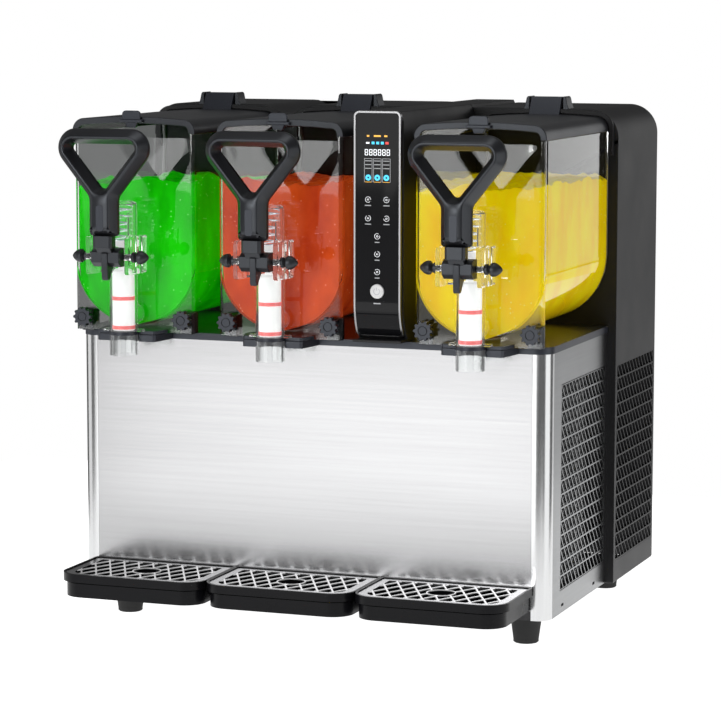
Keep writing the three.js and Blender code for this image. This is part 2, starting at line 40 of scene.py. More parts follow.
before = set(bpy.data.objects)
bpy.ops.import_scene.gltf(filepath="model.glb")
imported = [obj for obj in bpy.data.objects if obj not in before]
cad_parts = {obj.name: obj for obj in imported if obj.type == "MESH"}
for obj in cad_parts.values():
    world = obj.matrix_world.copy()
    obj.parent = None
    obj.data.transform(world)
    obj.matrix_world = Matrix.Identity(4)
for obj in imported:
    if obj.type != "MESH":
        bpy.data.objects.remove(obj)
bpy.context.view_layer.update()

MM = 0.001
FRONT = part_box("front_panel")[0].y
TO_FRAME = Matrix.Translation((0, FRONT, 0)) @ Matrix.Scale(MM, 4)
SIDES = ("left", "middle", "right")


def centre(node):
    """The middle of a CAD node seen from above, in millimetres."""
    low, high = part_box(node)
    return (low.x + high.x) / 2 / MM, ((low.y + high.y) / 2 - FRONT) / MM


STATION = {side: centre(f"bowl_{side}")[0] for side in SIDES}
TRAY_X = {side: centre(f"drip_tray_{side}")[0] for side in SIDES}
CONSOLE_X = centre("console_bezel")[0]
DECK_LOW, DECK_TOP = 369.3, 378
BODY_BACK = 259.7  # where the deck, the console and the side panels meet the rear cover
FLANKS = (("left", -1), ("right", 1))


# ---- materials ----
def surface(name, color, roughness, **sockets):
    """A new Principled material. Socket names have underscores for spaces."""
    material = bpy.data.materials.new(name)
    material.use_nodes = True
    shader = material.node_tree.nodes["Principled BSDF"]
    shader.inputs["Base Color"].default_value = (*color, 1)
    shader.inputs["Roughness"].default_value = roughness
    for socket, value in sockets.items():
        shader.inputs[socket.replace("_", " ")].default_value = value
    return material


def pattern(material, kind, scale, stretch=(1, 1, 1), **settings):
    """A procedural texture in the object's own space. Returns its value socket."""
    tree = material.node_tree
    coordinates = tree.nodes.new("ShaderNodeTexCoord")
    mapping = tree.nodes.new("ShaderNodeMapping")
    mapping.inputs["Scale"].default_value = stretch
    texture = tree.nodes.new(f"ShaderNodeTex{kind}")
    texture.inputs["Scale"].default_value = scale
    for socket, value in settings.items():
        texture.inputs[socket.replace("_", " ")].default_value = value
    tree.links.new(coordinates.outputs["Object"], mapping.inputs["Vector"])
    tree.links.new(mapping.outputs["Vector"], texture.inputs["Vector"])
    return texture.outputs["Distance" if kind == "Voronoi" else "Fac"]


def ramp(material, value, low, high, start=0.3, end=0.7):
    """A value turned into a colour between low and high."""
    tree = material.node_tree
    node = tree.nodes.new("ShaderNodeValToRGB")
    node.color_ramp.elements[0].position = start
    node.color_ramp.elements[1].position = end
    node.color_ramp.elements[0].color = (*low, 1)
    node.color_ramp.elements[1].color = (*high, 1)
    tree.links.new(value, node.inputs["Fac"])
    return node.outputs["Color"]


def spread(material, value, low, high):
    """A value from 0 to 1 turned into one from low to high."""
    tree = material.node_tree
    node = tree.nodes.new("ShaderNodeMapRange")
    node.inputs["To Min"].default_value = low
    node.inputs["To Max"].default_value = high
    tree.links.new(value, node.inputs["Value"])
    return node.outputs["Result"]


def drive(material, socket, output):
    """Links an output to a socket of the material's Principled shader."""
    shader = material.node_tree.nodes["Principled BSDF"]
    material.node_tree.links.new(output, shader.inputs[socket])


def bump(material, value, strength, depth):
    """Raises the surface by a value, depth in millimetres."""
    tree = material.node_tree
    node = tree.nodes.new("ShaderNodeBump")
    node.inputs["Strength"].default_value = strength
    node.inputs["Distance"].default_value = depth * MM
    tree.links.new(value, node.inputs["Height"])
    drive(material, "Normal", node.outputs["Normal"])


def moulded(name, color, roughness, grain=900, depth=0.05, **sockets):
    """Moulded plastic: a fine grain, with slightly uneven gloss and colour."""
    material = surface(name, color, roughness, **sockets)
    fine = pattern(material, "Noise", grain, Detail=3.0)
    broad = pattern(material, "Noise", 14, Detail=2.0)
    darker = tuple(c * 0.86 for c in color)
    lighter = tuple(min(1.0, c * 1.14) for c in color)
    drive(material, "Base Color", ramp(material, broad, darker, lighter))
    drive(material, "Roughness", spread(material, broad, roughness * 0.85, roughness * 1.15))
    bump(material, fine, 0.35, depth)
    return material


def brushed(name, color, roughness, stretch, streak=0.1, **sockets):
    """Metal with long fine brush marks, drawn out where stretch is small."""
    material = surface(name, color, roughness, Metallic=1.0, **sockets)
    marks = pattern(material, "Noise", 260, stretch, Detail=6.0, Roughness=0.65)
    broad = pattern(material, "Noise", 7, (0.25, 1, 1.2), Detail=3.0)
    drive(material, "Base Color", ramp(material, marks, tuple(c * (1 - streak) for c in color), color))
    drive(material, "Roughness", spread(material, broad, roughness * 0.8, roughness * 1.25))
    bump(material, marks, 1.8 * streak, 0.06)
    return material


ALONG_X = (0.012, 1, 1)
ALONG_Y = (1, 0.02, 1)
ALONG_Z = (1, 1, 0.012)
# A blue tint painted into the black plastics' reflections: it stands in for the slate-blue sheen of the
# front light.
BLUE_SHEEN_TINT = (0.86, 0.92, 1.0, 1)
BLACK = moulded("black_plastic", (0.014, 0.014, 0.016), 0.40, Specular_Tint=BLUE_SHEEN_TINT)
COVER_BLACK = moulded("cover_black", (0.010, 0.010, 0.011), 0.5, 1300, 0.06, Specular_IOR_Level=0.28)
HANDLE_BLACK = moulded("handle_black", (0.012, 0.012, 0.014), 0.34, Specular_Tint=BLUE_SHEEN_TINT)
# A bluish copy of the black plastic: a painted blue sheen for the deck, knobs, tap feet, latches, lid
# hinges and handle panels.
BLUE_SHEEN_BLACK = moulded("slate_plastic", (0.018, 0.019, 0.026), 0.40, Specular_Tint=BLUE_SHEEN_TINT)
TRAY_BLACK = moulded("tray_black", (0.004, 0.004, 0.005), 0.28, 500, 0.02, Specular_IOR_Level=0.12)
RUBBER = moulded("black_rubber", (0.012, 0.012, 0.012), 0.75, 700, 0.08)
GREY_SEAL = moulded("grey_seal", (0.10, 0.10, 0.10), 0.6)
# The white plastic of the pistons and augers glows a little: painted light, not a lamp.
WHITE = moulded("white_plastic", (0.86, 0.86, 0.85), 0.3, Emission_Strength=0.45)
BUTTON_WHITE = moulded("button_white", (0.7, 0.7, 0.7), 0.3)
# The red seals glow a little: painted light that brightens them.
SALMON = moulded(
    "seal_red", (0.86, 0.16, 0.16), 0.4, Emission_Color=(0.9, 0.2, 0.2, 1), Emission_Strength=0.35
)
PAINTED = moulded("painted_black", (0.02, 0.02, 0.022), 0.55, 600, 0.1)
STEEL_FRONT = brushed("brushed_steel_front", (0.37, 0.37, 0.375), 0.21, ALONG_X, 0.075)
# The side sheets, their vents and guards get a darker copy of the front's steel: painted shade on the
# sides.
STEEL_SIDE_SHADED = brushed("brushed_steel_side_painted_shade", (0.26, 0.265, 0.27), 0.3, ALONG_Y)
# A much lighter copy of the steel for the bend round the front corner: a painted highlight on the corner.
STEEL_CORNER_LIT = brushed("brushed_steel_corner_painted_highlight", (0.6, 0.605, 0.61), 0.2, ALONG_Z)
POLISHED = brushed("polished_steel", (0.50, 0.50, 0.51), 0.2, ALONG_X)
# The grille's bars glow a little: painted light that brightens them.
BRIGHT_WIRE = brushed("bright_lattice", (0.85, 0.85, 0.86), 0.3, ALONG_X, Emission_Strength=0.18)
# The spring glows bluish-white: painted light that brightens the wire.
SPRING_STEEL = brushed(
    "spring_steel", (0.85, 0.87, 0.92), 0.2, (1, 1, 0.3),
    Emission_Color=(0.8, 0.9, 1, 1), Emission_Strength=0.2,
)
SATIN_TRIM = brushed("silver_trim", (0.27, 0.27, 0.275), 0.28, ALONG_Z)
GREY_METAL = brushed("grey_metal", (0.45, 0.46, 0.47), 0.4, ALONG_X)
DRUM_STEEL = brushed("drum_steel", (0.7, 0.71, 0.72), 0.25, ALONG_Y)
FINS = brushed("aluminium_fins", (0.7, 0.7, 0.7), 0.4, ALONG_Z)
GLASS_BLACK = moulded("black_glass", (0.006, 0.006, 0.007), 0.06, 200, 0.004, Specular_IOR_Level=0.12)


def clear_plastic(name, shine, bend=1.47, glow=0.0):
    """Clear moulded plastic, faintly wavy. It mirrors less with a lower bend (IOR). Its glow is painted
    light.
    """
    material = surface(
        name, (0.97, 0.985, 0.98), 0.02,
        Transmission_Weight=1.0, IOR=bend, Specular_IOR_Level=shine, Emission_Strength=glow,
    )
    broad = pattern(material, "Noise", 18, Detail=2.0)
    drive(material, "Roughness", spread(material, broad, 0.005, 0.035))
    bump(material, broad, 0.06, 0.4)
    return material


CLEAR = clear_plastic("clear_plastic", 0.5)
CLEAR_WALL = clear_plastic("clear_side_wall", 0.3, 1.14)
# The tap's plastic glows faintly: painted light that brightens the tube.
CLEAR_TAP = clear_plastic("clear_tap", 1.0, 1.28, 0.015)


def slush(name, deep, bright, pale, glow):
    """Part-frozen drink: cloudy patches, fine ice and a scatter of small bubbles. Its glow is painted light
    that brightens its colours.
    """
    material = surface(name, bright, 0.3, Specular_IOR_Level=0.1, IOR=1.34, Emission_Strength=glow)
    tree = material.node_tree
    cloud = pattern(material, "Noise", 16, (1, 1, 0.45), Detail=5.0, Roughness=0.6)
    ice = pattern(material, "Noise", 420, Detail=4.0)
    bubbles = pattern(material, "Voronoi", 130, Randomness=1.0)
    body = ramp(material, cloud, deep, bright, 0.32, 0.62)
    specks = ramp(material, bubbles, (1, 1, 1), (0, 0, 0), 0.05, 0.11)
    mix = tree.nodes.new("ShaderNodeMix")
    mix.data_type = "RGBA"
    mix.inputs["B"].default_value = (*pale, 1)
    tree.links.new(specks, mix.inputs["Factor"])
    tree.links.new(body, mix.inputs["A"])
    drive(material, "Base Color", mix.outputs["Result"])
    drive(material, "Emission Color", mix.outputs["Result"])
    bump(material, ice, 0.3, 0.4)
    return material


# The last number is each drink's glow: painted light, not a lamp.
SLUSH = {
    "left": slush("slush_green", (0.0, 0.34, 0.0), (0.01, 0.66, 0.0), (0.4, 0.9, 0.35), 0.42),
    "middle": slush("slush_red", (0.46, 0.03, 0.006), (0.72, 0.095, 0.012), (0.95, 0.5, 0.3), 0.34),
    "right": slush("slush_yellow", (0.84, 0.54, 0.0), (0.90, 0.75, 0.0), (1.0, 0.95, 0.4), 0.33),
}


def lamp(name, color, strength):
    """A lit mark behind the console's glass, slightly uneven like a printed light guide."""
    material = surface(name, color, 0.4, Emission_Strength=strength)
    uneven = pattern(material, "Noise", 900, Detail=1.0)
    glow = ramp(material, uneven, tuple(c * 0.8 for c in color), color)
    drive(material, "Base Color", glow)
    drive(material, "Emission Color", glow)
    return material


LAMPS = {
    "white": lamp("lamp_white", (0.9, 0.92, 0.95), 0.9),
    "cyan": lamp("lamp_cyan", (0.05, 0.55, 0.85), 0.9),
    "amber": lamp("lamp_amber", (0.9, 0.45, 0.05), 0.9),
    "red": lamp("lamp_red", (0.8, 0.05, 0.04), 0.8),
    "grey": lamp("print_grey", (0.45, 0.46, 0.48), 0.25),
}


# ---- shapes, in millimetres ----
def arc(u, v, radius, start, end, steps):
    angles = [math.radians(start + (end - start) * i / steps) for i in range(steps + 1)]
    return [(u + radius * math.cos(a), v + radius * math.sin(a)) for a in angles]


def circle(u, v, radius, sides=48):
    return arc(u, v, radius, 0, 360 - 360 / sides, sides - 1)


def rectangle(u0, u1, v0, v1):
    return [(u0, v0), (u1, v0), (u1, v1), (u0, v1)]


def rounded(u0, u1, v0, v1, low, high, steps=10):
    """A rectangle with one radius at its two low-v corners and one at its two high-v corners."""
    return [
        *arc(u1 - low, v0 + low, low, -90, 0, steps),
        *arc(u1 - high, v1 - high, high, 0, 90, steps),
        *arc(u0 + high, v1 - high, high, 90, 180, steps),
        *arc(u0 + low, v0 + low, low, 180, 270, steps),
    ]


def mirrored(right):
    """The right half of an outline, completed by its mirror image on the left."""
    return [*right, *[(-u, v) for u, v in reversed(right)]]


def moved(outline, du, dv=0):
    return [(u + du, v + dv) for u, v in outline]


def lifted(axis, u, v, w):
    """The point (u, v) of an outline at w along the axis it is pushed along."""
    return Vector({"x": (w, u, v), "y": (u, w, v), "z": (u, v, w)}[axis])


def prism(axis, start, end, outline, holes=()):
    """An outline pushed along an axis. Outlines are (y, z) along x, (x, z) along y and (x, y) along z."""
    bm = bmesh.new()
    edges = []
    for loop in (outline, *holes):
        verts = [bm.verts.new(lifted(axis, u, v, start)) for u, v in loop]
        edges += [bm.edges.new(pair) for pair in zip(verts, verts[1:] + verts[:1])]
    if holes:
        bmesh.ops.triangle_fill(bm, use_beauty=True, edges=edges)
    else:
        bm.faces.new(verts)
    pushed = bmesh.ops.extrude_face_region(bm, geom=bm.faces[:])["geom"]
    far = [part for part in pushed if isinstance(part, bmesh.types.BMVert)]
    bmesh.ops.translate(bm, verts=far, vec=lifted(axis, 0, 0, end - start))
    bmesh.ops.recalc_face_normals(bm, faces=bm.faces)
    return bm


def box(x0, x1, y0, y1, z0, z1):
    return prism("z", z0, z1, rectangle(x0, x1, y0, y1))


def loft(loops, closed=False):
    """Skins a run of loops of equal length. A loop of one point closes to a tip."""
    bm = bmesh.new()
    rings = [[bm.verts.new(point) for point in loop] for loop in loops]
    count = max(len(ring) for ring in rings)
    pairs = list(zip(rings, rings[1:] + rings[:1] if closed else rings[1:]))
    for low, high in pairs:
        for i in range(count):
            j = (i + 1) % count
            corners = [low[i % len(low)], low[j % len(low)], high[j % len(high)], high[i % len(high)]]
            corners = list(dict.fromkeys(corners))
            if len(corners) > 2:
                bm.faces.new(corners)
    if not closed:
        for ring in (rings[0], rings[-1]):
            if len(ring) > 2:
                bm.faces.new(ring)
    bmesh.ops.recalc_face_normals(bm, faces=bm.faces)
    return bm


def turned(axis, profile, u, v, sides=48, closed=False):
    """A (radius, height) profile turned about the line through (u, v) along an axis."""
    loops = []
    for radius, height in profile:
        ring = circle(u, v, radius, sides) if radius > 0.001 else [(u, v)]
        loops.append([lifted(axis, a, b, height) for a, b in ring])
    return loft(loops, closed)


def rod(axis, radius, low, high, u, v, sides=48):
    return turned(axis, [(0, low), (radius, low), (radius, high), (0, high)], u, v, sides)


def add_object(name, data):
    obj = bpy.data.objects.new(name, data)
    bpy.context.scene.collection.objects.link(obj)
    return obj


def joined(*parts):
    """Several bmeshes as one, without cutting them."""
    whole = bmesh.new()
    for part in parts:
        mesh = bpy.data.meshes.new("part")
        part.to_mesh(mesh)
        part.free()
        whole.from_mesh(mesh)
        bpy.data.meshes.remove(mesh)
    return whole


def combined(operation, base, *tools):
    """UNION, DIFFERENCE or INTERSECT of closed bmeshes."""
    for tool in tools:
        pair = []
        for part in (base, tool):
            mesh = bpy.data.meshes.new("part")
            part.to_mesh(mesh)
            part.free()
            pair.append(add_object("part", mesh))
        modifier = pair[0].modifiers.new("combine", "BOOLEAN")
        modifier.object = pair[1]
        modifier.operation = operation
        modifier.solver = "EXACT"
        depsgraph = bpy.context.evaluated_depsgraph_get()
        result = bpy.data.meshes.new_from_object(pair[0].evaluated_get(depsgraph))
        base = bmesh.new()
        base.from_mesh(result)
        bpy.data.meshes.remove(result)
        for part in pair:
            bpy.data.meshes.remove(part.data)
    return base


def shifted(bm, x, y=0, z=0):
    bmesh.ops.translate(bm, verts=bm.verts, vec=(x, y, z))
    return bm


def place(name, bm, material, body, replaces=(), bevel=0.0, segments=3, sharp=35):
    """Makes a piece from a bmesh in millimetres: its body moves it, and its slot names its finish."""
    mesh = bpy.data.meshes.new(name)
    bmesh.ops.transform(bm, matrix=TO_FRAME, verts=bm.verts)
    bm.to_mesh(mesh)
    bm.free()
    mesh.shade_smooth()
    mesh.materials.append(material)
    obj = add_object(name, mesh)
    if bevel:
        modifier = obj.modifiers.new("bevel", "BEVEL")
        modifier.width = bevel * MM
        modifier.segments = segments
        modifier.limit_method = "ANGLE"
        modifier.angle_limit = math.radians(sharp)
        modifier.harden_normals = True
    else:
        mesh.set_sharp_from_angle(angle=math.radians(sharp))
    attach(obj, body)
    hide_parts(*replaces)
    return obj


# ---- bowls ----
BOWL_FRONT, BOWL_BACK = -19, 256
BOWL_HALF, BOWL_AXIS, BOWL_RIM, BOWL_WALL, BOWL_FOOT, BOWL_CORNER = 84, 471, 630, 3, 378.6, 7
LID_TOP, CROWN = 652, 3
TAP_Y, TAP_RADIUS, TAP_BORE, TAP_FOOT, TAP_TOP = -54, 18, 15, 353, 548
EAR_HALF, EAR_GAP, EAR_FRONT, EAR_BACK, EAR_LOW, EAR_HIGH = 29, 23.5, -102, -46, 458, 505
PORT_Z, PORT_RADIUS, PORT_BORE = 402, 13, 9
PIN_Y, PIN_Z = -91, 480
BRACKET_HALF, BRACKET_BASE, BRACKET_FRONT = 40, 46, -48


def trough(half, rim):
    return [(half, rim), (-half, rim), *arc(0, BOWL_AXIS, half, -180, 0, 40)]


def arch(half, base, top, corner):
    """A doorway's outline with round shoulders and a slightly crowned top."""
    flat = half - corner
    side = [(half, base), *arc(flat, top - CROWN - corner, corner, 0, 90, 8)]
    return mirrored([*side, (flat * 0.66, top - CROWN * 0.45), (flat * 0.33, top - CROWN * 0.1)])


def bowl_body():
    """A round-bottomed trough behind a flat front plate that reaches down to the deck."""
    inner = BOWL_HALF - BOWL_WALL
    inside_front = BOWL_FRONT + BOWL_WALL
    plan = rounded(-BOWL_HALF, BOWL_HALF, BOWL_FRONT, BOWL_BACK + 1, BOWL_CORNER, 0.5, 8)
    inner_plan = rounded(-inner, inner, inside_front, BOWL_BACK + 2, BOWL_CORNER - BOWL_WALL, 0.5, 8)
    plate = [
        (-BOWL_HALF, BOWL_FOOT), (BOWL_HALF, BOWL_FOOT), (BOWL_HALF, BOWL_RIM), (inner, BOWL_RIM),
        *arch(inner, BOWL_RIM, LID_TOP - 3.5, 13)[1:-1], (-inner, BOWL_RIM), (-BOWL_HALF, BOWL_RIM),
    ]
    walls = combined(
        "UNION",
        prism("y", inside_front - 1, BOWL_BACK, trough(BOWL_HALF, BOWL_RIM)),
        prism("y", BOWL_FRONT, inside_front, plate),
    )
    walls = combined("INTERSECT", walls, prism("z", BOWL_FOOT - 1, LID_TOP, plan))
    cavity = combined(
        "INTERSECT",
        prism("y", inside_front, BOWL_BACK + 1, trough(inner, BOWL_RIM + 1)),
        prism("z", BOWL_FOOT, BOWL_RIM + 2, inner_plan),
    )
    return combined("DIFFERENCE", walls, cavity)


def tap_body():
    """The upright tube with ears for the pivot pin, joined to the bowl by a web and the port."""
    dome = [(TAP_RADIUS, -6), (17.2, -3.4), (14.5, -1.2), (10, 0), (0, 0)]
    profile = [(0, TAP_FOOT), (TAP_RADIUS, TAP_FOOT), *moved(dome, 0, TAP_TOP)]
    barrel = turned("z", profile, 0, TAP_Y, 64)
    ears = prism("x", -EAR_HALF, EAR_HALF, rounded(EAR_FRONT, EAR_BACK, EAR_LOW, EAR_HIGH, 5, 5))
    flange = prism("z", 383.2, 386, rounded(-27, 27, TAP_Y - 5, TAP_Y + 7, 3, 3))
    web = box(-3, 3, TAP_Y, BOWL_FRONT - 0.2, PORT_Z, TAP_TOP - 18)
    port = rod("y", PORT_RADIUS, TAP_Y, BOWL_FRONT - 0.2, 0, PORT_Z)
    body = combined("UNION", barrel, ears, flange, web, port)
    tube_front = TAP_Y - TAP_RADIUS
    bore = rod("z", TAP_BORE, TAP_FOOT - 1, TAP_TOP - 5, 0, TAP_Y, 64)
    between_ears = box(-EAR_GAP, EAR_GAP, EAR_FRONT - 1, tube_front + 1, EAR_LOW - 1, EAR_HIGH + 1)
    fork_window = box(-12, 12, tube_front - 1, TAP_Y, 466, 527)
    pin_hole = rod("x", 4.3, -EAR_HALF - 1, EAR_HALF + 1, PIN_Y, PIN_Z, 32)
    port_hole = rod("y", PORT_BORE, TAP_Y, BOWL_FRONT, 0, PORT_Z)
    return combined("DIFFERENCE", body, bore, between_ears, fork_window, pin_hole, port_hole)


def bracket_outline(x, margin):
    """The tapering bracket that stands out of the deck's front edge, seen from above."""
    right = [
        (BRACKET_HALF - 3, BRACKET_FRONT + margin),
        (BRACKET_HALF - margin, BRACKET_FRONT + 3),
        (BRACKET_BASE - margin, -1),
    ]
    return moved([(-u, v) for u, v in reversed(right)] + right, x)


def tap_foot():
    """The black plate round the foot of the tap, which rests on the deck's bracket."""
    outline = [(u, min(v, BOWL_FRONT - 0.3)) for u, v in bracket_outline(0, 0.6)]
    return prism("z", BOWL_FOOT, 383, outline, [circle(0, TAP_Y, TAP_RADIUS + 0.3)])


WETTED = 0.3  # how far the drink reaches into the clear wall, so that no gap shows
SWELL, SWELL_SCALE = 11, (0.028, 0.022)
RIPPLE, RIPPLE_SCALE = 3.6, (0.12, 0.1)


def slush_body(level, heap):
    """The drink: the trough's section under an uneven top, and the port's filling."""
    front, back = BOWL_FRONT + BOWL_WALL - WETTED, BOWL_BACK - 1
    half, corner = BOWL_HALF - BOWL_WALL + WETTED, BOWL_CORNER - BOWL_WALL + WETTED
    loops = []
    steps, across = 56, 48
    for i in range(steps + 1):
        y = front + (back - front) * i / steps
        cut_back = corner - math.sqrt(max(0.0, corner**2 - max(0.0, corner - (y - front)) ** 2))
        width = half - cut_back
        loop = [(max(-width, min(width, u)), v) for u, v in arc(0, BOWL_AXIS, half, -180, 0, 40)]
        for k in range(across + 1):
            x = width - 2 * width * k / across
            swell = noise.noise(Vector((x * SWELL_SCALE[0], y * SWELL_SCALE[1], level * 0.37)))
            ripple = noise.noise(Vector((x * RIPPLE_SCALE[0], y * RIPPLE_SCALE[1], 2.0)))
            slope = (heap + 0.04 * x) * (1 - i / steps)
            loop.append((x, level + (swell * SWELL + ripple * RIPPLE) + slope))
        loops.append([Vector((u, y, v)) for u, v in loop])
    return joined(loft(loops), rod("y", PORT_BORE - 0.1, -37, -15, 0, PORT_Z))


BOWL = bowl_body()
TAP = tap_body()
LEVEL = {"left": (559, 12), "middle": (563, 9), "right": (573, -2)}  # mean height, extra at the front

for side, x in STATION.items():
    body = f"bowl_{side}"
    walls = shifted(BOWL.copy(), x)
    shell = place(f"bowl_shell_{side}", walls, CLEAR, body, [f"bowl_{side}"])
    shell.data.materials.append(CLEAR_WALL)
    for face in shell.data.polygons:  # the right bowl's sides keep the glossier finish
        face.material_index = int(side != "right" and abs(face.normal.x) > 0.7)
    place(f"tap_foot_{side}", shifted(tap_foot(), x), BLUE_SHEEN_BLACK, body, bevel=1.2)
    place(f"tap_barrel_{side}", shifted(TAP.copy(), x), CLEAR_TAP, body, sharp=30)
    drink = shifted(slush_body(*LEVEL[side]), x)
    place(f"slush_{side}", drink, SLUSH[side], body, sharp=40)


# ---- lids ----
HINGE_Y, HINGE_Z, HINGE_RADIUS = 271, 664.5, 9.5


def lid_shell():
    """An arched cover, open below, behind and where the bowl's plate fills its front."""
    outside = prism("y", -22, 259.4, arch(84.6, 630.4, LID_TOP, 16))
    inside = prism("y", -19.3, 261, arch(81.6, 629, LID_TOP - 3, 13))
    opening = prism("y", -23, -19, arch(76.1, 629, LID_TOP - 8.5, 7.5))
    return combined("DIFFERENCE", outside, inside, opening)


def latch_tab():
    """A thumb tab over a thin strip, with a stem that hangs in front of the lid."""
    tab = prism("y", -27.6, -23.4, rounded(-12.5, 12.5, 648, 659.5, 1, 5))
    strip = prism("y", -28.8, -21.5, rounded(-15.5, 15.5, 644.6, 648.4, 1, 1))
    stem = prism("y", -27.2, -21.5, [(-9, 645), (9, 645), (6, 638), (-6, 638)])
    return joined(tab, strip, stem)


def hinge_hood():
    """Two flared cheeks, one each side of the lid's hinge."""
    cheek = [(22.6, 653), (33, 653), (31.2, 657), (28.4, 664), (26.6, 672.6), (25, 674.5), (22.6, 674.5)]
    left = [(-u, v) for u, v in reversed(cheek)]
    return joined(*[prism("y", 258.5, 283, outline) for outline in (cheek, left)])


def arch_rim():
    """The rear cover's raised lip round the back of the lid."""
    outer = arch(91.5, 600, 658.6, 21)
    inner = arch(85.4, 599, 652.8, 16.6)
    return combined("DIFFERENCE", prism("y", 254, 260.6, outer), prism("y", 253, 262, inner))


def lid_hinge():
    """The lid's half of the hinge: a block with a round knuckle about the hinge's axis."""
    knuckle = arc(HINGE_Y, HINGE_Z, HINGE_RADIUS, -90, 90, 12)
    outline = [(248, 651), (259.4, 651), (259.4, 655), *knuckle, (261, 674), (259, 671)]
    return prism("x", -20.5, 20.5, outline)


for side, x in STATION.items():
    body = f"lid_{side}"
    place(f"lid_cover_{side}", shifted(lid_shell(), x), BLACK, body, [f"lid_{side}"], 1.2)
    place(f"lid_latch_{side}", shifted(latch_tab(), x), BLUE_SHEEN_BLACK, body, bevel=1)
    place(f"lid_hinge_{side}", shifted(lid_hinge(), x), BLUE_SHEEN_BLACK, body, bevel=0.6)
    place(f"hinge_hood_{side}", shifted(hinge_hood(), x), BLACK, "root", bevel=0.8)
    place(f"cover_rim_{side}", shifted(arch_rim(), x), COVER_BLACK, "root", bevel=1)


# ---- tap: pin, handle, piston, spring ----
def pivot_pin():
    """A rod through both ears with a collar and an acorn at each end."""
    end = [
        (4, 29.3), (6.5, 30.3), (6.7, 33.5), (4.4, 35.5), (6.2, 36.6), (8.4, 38.6), (8.6, 41.5),
        (7.9, 44), (6.2, 47), (3.6, 50), (1.4, 51.6), (0, 52),
    ]
    flip = [(r, -x) for r, x in reversed(end)]
    return turned("x", [*flip, *end], PIN_Y, PIN_Z, 40)


def inset(outline, amount):
    """An anticlockwise outline moved inwards by an amount, or outwards if that is negative."""
    result = []
    count = len(outline)
    for i in range(count):
        (ax, ay), (bx, by), (cx, cy) = outline[i - 1], outline[i], outline[(i + 1) % count]
        before = Vector((ay - by, bx - ax)).normalized()
        after = Vector((by - cy, cx - bx)).normalized()
        mean = (before + after).normalized()
        push = amount / max(0.5, mean.dot(before))
        result.append((bx + mean.x * push, by + mean.y * push))
    return result


def layered(axis, outline, layers, hole=(), hole_layers=()):
    """An outline lofted through (depth, inset) layers, with a hole lofted through its own."""
    bm = bmesh.new()
    ends = {0: [], -1: []}
    for loop, steps in ((outline, layers), (hole, hole_layers)):
        rings = []
        for depth, amount in steps if loop else ():
            points = inset(loop, amount)
            rings.append([bm.verts.new(lifted(axis, u, v, depth)) for u, v in points])
        for low, high in zip(rings, rings[1:]):
            for i in range(len(low)):
                bm.faces.new((low[i - 1], low[i], high[i], high[i - 1]))
        for end in ends if rings else ():
            ring = rings[end]
            ends[end] += [bm.edges.get((ring[i - 1], ring[i])) for i in range(len(ring))]
    for edges in ends.values():
        bmesh.ops.triangle_fill(bm, use_beauty=True, edges=edges)
    bmesh.ops.recalc_face_normals(bm, faces=bm.faces)
    return bm


LOOP_X, LOOP_Z = 37.5, 136  # the middles of the loop's upper corners, from the pivot


def tap_handle():
    """The loop and its stem in one, with raked flanks and a hole that flares forwards."""
    foot = rounded(-19.4, 19.4, 27, 50, 5, 0.1, 6)
    right = [*foot[:7], (19.4, 40), (19.4, 68), *arc(33.4, 70.5, 14, 180, 141, 6)]
    right += arc(LOOP_X, LOOP_Z, 24, -39, 90, 20)
    grip = [
        *arc(LOOP_X, LOOP_Z, 5, -39, 90, 12),
        *arc(-LOOP_X, LOOP_Z, 5, 90, 219, 12),
        *arc(0, 92.5, 6.5, 219, 321, 12),
    ]
    flanks = [
        (-12, 2.6), (-12.8, 0.9), (-14.6, 0), (-18.5, 0),
        (-20.5, 0.8), (-30, 7.5), (-31.4, 8.4), (-32, 9.4),
    ]
    flare = [(-12, -1.6), (-12.8, -0.5), (-14.2, 0), (-21, -0.9), (-30, -6.4), (-31.4, -6.9), (-32, -7.6)]
    return layered("y", mirrored(right), flanks, grip, flare)


def handle_neck():
    """The narrower block under the stem and the hub round the pin."""
    neck = prism("z", 12, 28, mirrored([(10, -27), (13, -24), (13, -13), (10, -9)]))
    throat = prism("x", -10, 10, [(-25, 14), (-17, 4), (6, 4), (-8, 14)])
    hub = [(-18, -6), (-10, -12), (6, -11.5), (11, -6), (11, 6), (7, 11.5), (-10, 12), (-18, 7)]
    return joined(neck, throat, prism("x", -19, 19, hub))


def handle_fork():
    """The finger that stops against the tube, and the two arms that lift the piston's disc."""
    finger = [(-20, 6), (5, 6), (5, -8), (-8.5, -24), (-11, -28), (-16.5, -28.5), (-18.5, -25)]
    arm = [(6, -7), (34, -4.5), (42.5, -2), (42.5, 6), (34, 8.8), (6, 9)]
    return joined(prism("x", -4.2, 4.2, finger), *[prism("x", low, low + 4, arm) for low in (-11, 7)])


def valve_spring():
    """Round wire in six turns, almost flat for half a turn at each end."""
    radius, wire, low, high = 12, 0.9, 498.8, 540.1
    turns, per_turn, flat_end = 6, 28, 0.09  # flat_end is a share of the whole length
    around = [2 * math.pi * k / 8 for k in range(8)]
    loops = []
    count = turns * per_turn
    for i in range(count + 1):
        t = i / count
        eased = min(1.0, max(0.0, (t - flat_end) / (1 - 2 * flat_end)))
        angle = -2 * math.pi * turns * t
        z = low + (high - low) * eased + (0.25 if t > 0.5 else 0.0)
        out = Vector((math.cos(angle), math.sin(angle), 0))
        core = Vector((0, TAP_Y, z)) + out * radius
        loops.append([core + out * wire * math.cos(a) + Vector((0, 0, wire * math.sin(a))) for a in around])
    return loft(loops)


